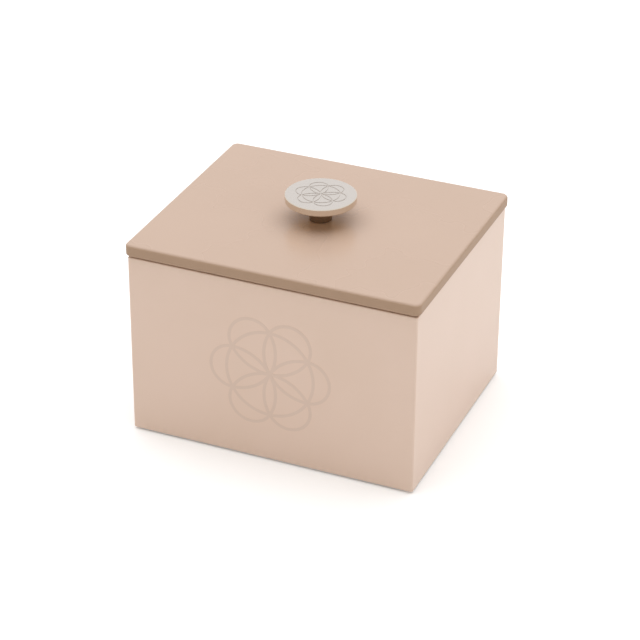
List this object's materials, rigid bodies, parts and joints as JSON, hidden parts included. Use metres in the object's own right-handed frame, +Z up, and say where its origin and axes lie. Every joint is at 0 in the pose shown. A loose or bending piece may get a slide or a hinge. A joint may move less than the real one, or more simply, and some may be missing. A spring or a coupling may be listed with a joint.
{
  "type": "lidded trinket box",
  "caption": "Rectangular lacquered box with straight walls and a slab lid that lifts off by a flat round metal knob on a short stem.",
  "frame": {"origin": "middle of the footprint, on the plane where the feet stand", "axes": "+X to the right along the width, +Y from the front wall to the back wall, +Z up towards the knob"},
  "size_m": [0.15, 0.125, 0.1162],
  "materials": {
    "case_lacquer": "satin sprayed lacquer on fibreboard, pale blush beige",
    "lid_lacquer": "satin sprayed lacquer on fibreboard, warm taupe",
    "satin_nickel": "satin nickel plate",
    "zinc_steel": "bright zinc plate",
    "beech": "bare, glued in",
    "floor_felt": "pressed felt with a short nap",
    "foot_rubber": "matt die-cut rubber"
  },
  "bodies": {
    "case": {"front_wall": "case_lacquer", "back_wall": "case_lacquer", "left_wall": "case_lacquer", "right_wall": "case_lacquer", "corner_spline_front_left": "beech", "corner_spline_front_right": "beech", "corner_spline_back_right": "beech", "corner_spline_back_left": "beech", "base_panel": "case_lacquer", "floor_felt": "floor_felt", "foot_front_left": "foot_rubber", "foot_front_right": "foot_rubber", "foot_back_right": "foot_rubber", "foot_back_left": "foot_rubber"},
    "lid": {"lid_panel": "lid_lacquer", "lid_batten_front": "lid_lacquer", "lid_batten_back": "lid_lacquer", "lid_batten_left": "lid_lacquer", "lid_batten_right": "lid_lacquer", "lid_pad_front_left": "foot_rubber", "lid_pad_front_right": "foot_rubber", "lid_pad_back_right": "foot_rubber", "lid_pad_back_left": "foot_rubber", "knob_stem": "satin_nickel", "knob_disc": "satin_nickel", "knob_washer": "zinc_steel", "knob_screw": "zinc_steel"}
  },
  "joints": [
    {"name": "lid_lift", "type": "slide", "parent": "case", "child": "lid", "axis": [0, 0, 1], "range_m": [0, 0.12]}
  ]
}
